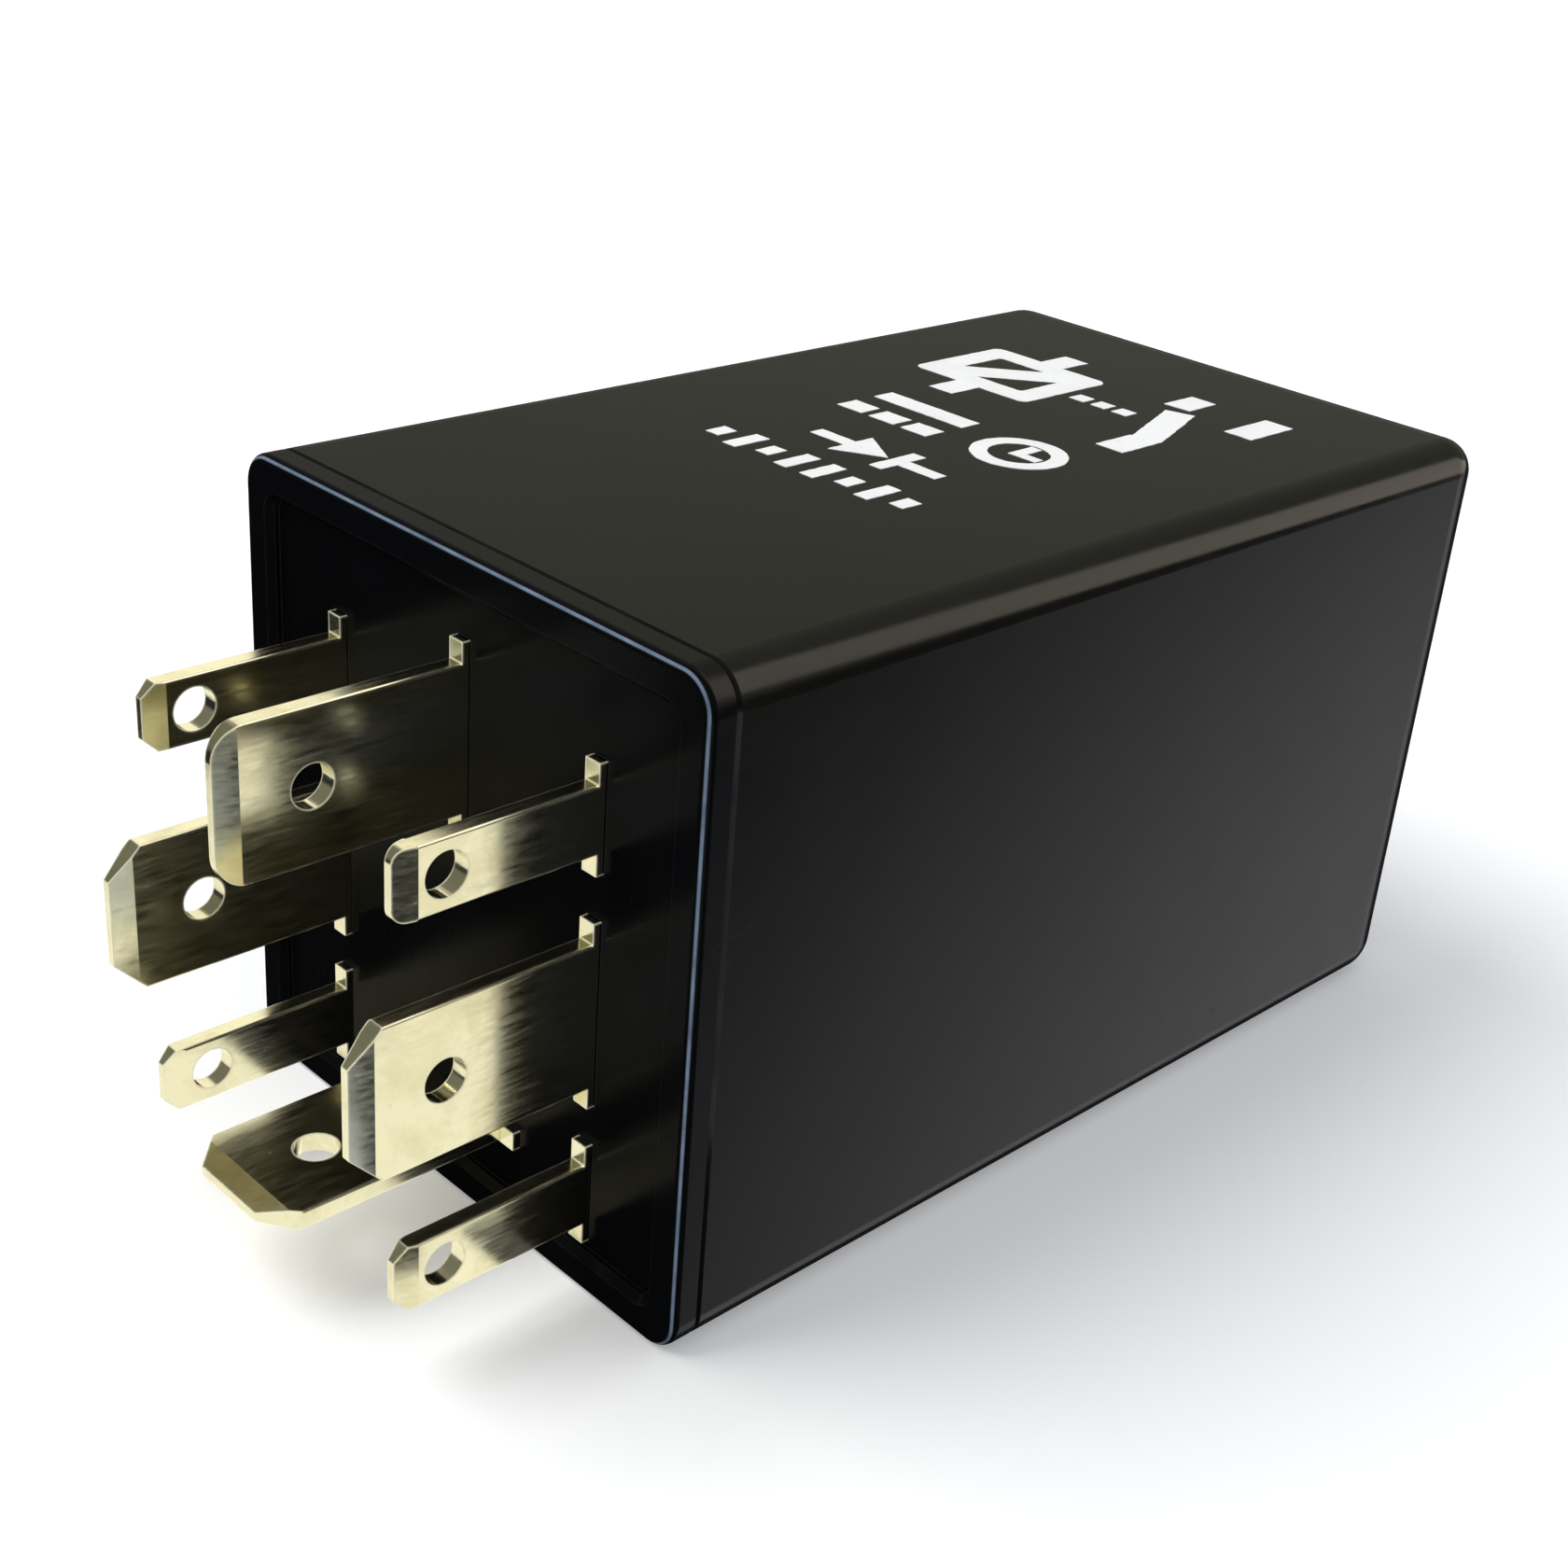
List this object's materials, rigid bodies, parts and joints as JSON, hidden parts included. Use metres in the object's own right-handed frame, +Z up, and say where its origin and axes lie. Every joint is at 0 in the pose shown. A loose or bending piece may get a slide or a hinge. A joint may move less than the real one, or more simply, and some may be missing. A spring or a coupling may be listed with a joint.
{
  "type": "plug-in relay",
  "caption": "Box-shaped plug-in relay with eight blade terminals, lying on its side. Its magnet system, contacts and timer boards inside a pull-off cover are inferred.",
  "frame": {"origin": "centre of the rim on the terminal side, in the plane that seats on the socket", "axes": "-Y out of the rim along the blades, +Y along the housing to its closed end, +Z up through the printed face, +X to the right seen from the terminals"},
  "size_m": [0.028, 0.0592, 0.028],
  "materials": {
    "cover_plastic": "moulded black thermoplastic, semi-gloss",
    "base_plastic": "moulded black thermoplastic, semi-gloss",
    "blade_brass": "stamped bright brass",
    "circuit_board": "glass-epoxy board with green solder resist",
    "solder": "tin solder",
    "magnet_steel": "zinc-plated soft iron",
    "bobbin_plastic": "natural glass-filled nylon",
    "copper_wire": "enamelled copper",
    "coil_tape": "polyester tape",
    "spring_bronze": "phosphor bronze strip",
    "contact_silver": "silver alloy",
    "component_black": "moulded epoxy",
    "tinned_lead": "tinned copper wire",
    "can_aluminium": "drawn aluminium can",
    "capacitor_sleeve": "shrink sleeve",
    "resistor_body": "lacquered resistor",
    "diode_body": "moulded epoxy",
    "absorber_body": "epoxy-dipped disc",
    "film_box": "moulded box"
  },
  "bodies": {
    "terminal_base": {"base": "base_plastic", "blade_large_lower_middle": "blade_brass", "blade_large_middle_left": "blade_brass", "blade_large_middle_right": "blade_brass", "blade_large_upper_middle": "blade_brass", "blade_small_lower_left": "blade_brass", "blade_small_lower_right": "blade_brass", "blade_small_upper_left": "blade_brass", "blade_small_upper_right": "blade_brass", "bobbin": "bobbin_plastic", "break_contact": "contact_silver", "break_contact_bracket": "blade_brass", "capacitor_leads": "tinned_lead", "carrier_board": "circuit_board", "carrier_board_solder": "solder", "coil_pins": "tinned_lead", "coil_tape": "coil_tape", "coil_winding": "copper_wire", "core": "magnet_steel", "diode_leads": "tinned_lead", "diodes": "diode_body", "driver_transistor": "component_black", "driver_transistor_leads": "tinned_lead", "film_capacitor": "film_box", "film_capacitor_leads": "tinned_lead", "flex_lead": "copper_wire", "header_pins": "tinned_lead", "header_strip": "component_black", "hinge_spring": "spring_bronze", "make_contact": "contact_silver", "make_contact_bracket": "blade_brass", "resistor_leads": "tinned_lead", "resistors": "resistor_body", "supply_capacitor": "can_aluminium", "supply_capacitor_sleeve": "capacitor_sleeve", "surge_absorber": "absorber_body", "surge_absorber_leads": "tinned_lead", "timer_board": "circuit_board", "timer_board_solder": "solder", "timer_chip": "component_black", "timer_chip_pins": "tinned_lead", "timing_capacitor": "can_aluminium", "timing_capacitor_sleeve": "capacitor_sleeve", "yoke": "magnet_steel"},
    "armature_group": {"armature": "magnet_steel", "contact_arm": "spring_bronze", "moving_contact": "contact_silver", "armature_rivets": "magnet_steel"},
    "cover_shell": {"cover": "cover_plastic"}
  },
  "joints": [
    {"name": "armature_pull", "type": "hinge", "parent": "terminal_base", "child": "armature_group", "pos_m": [0, 0.0263, -0.0062], "axis": [1, 0, 0], "range_deg": [0, 5], "deforming": ["hinge_spring", "flex_lead"]},
    {"name": "cover_pull_off", "type": "slide", "parent": "terminal_base", "child": "cover_shell", "axis": [0, 1, 0], "range_m": [0, 0.052]}
  ]
}
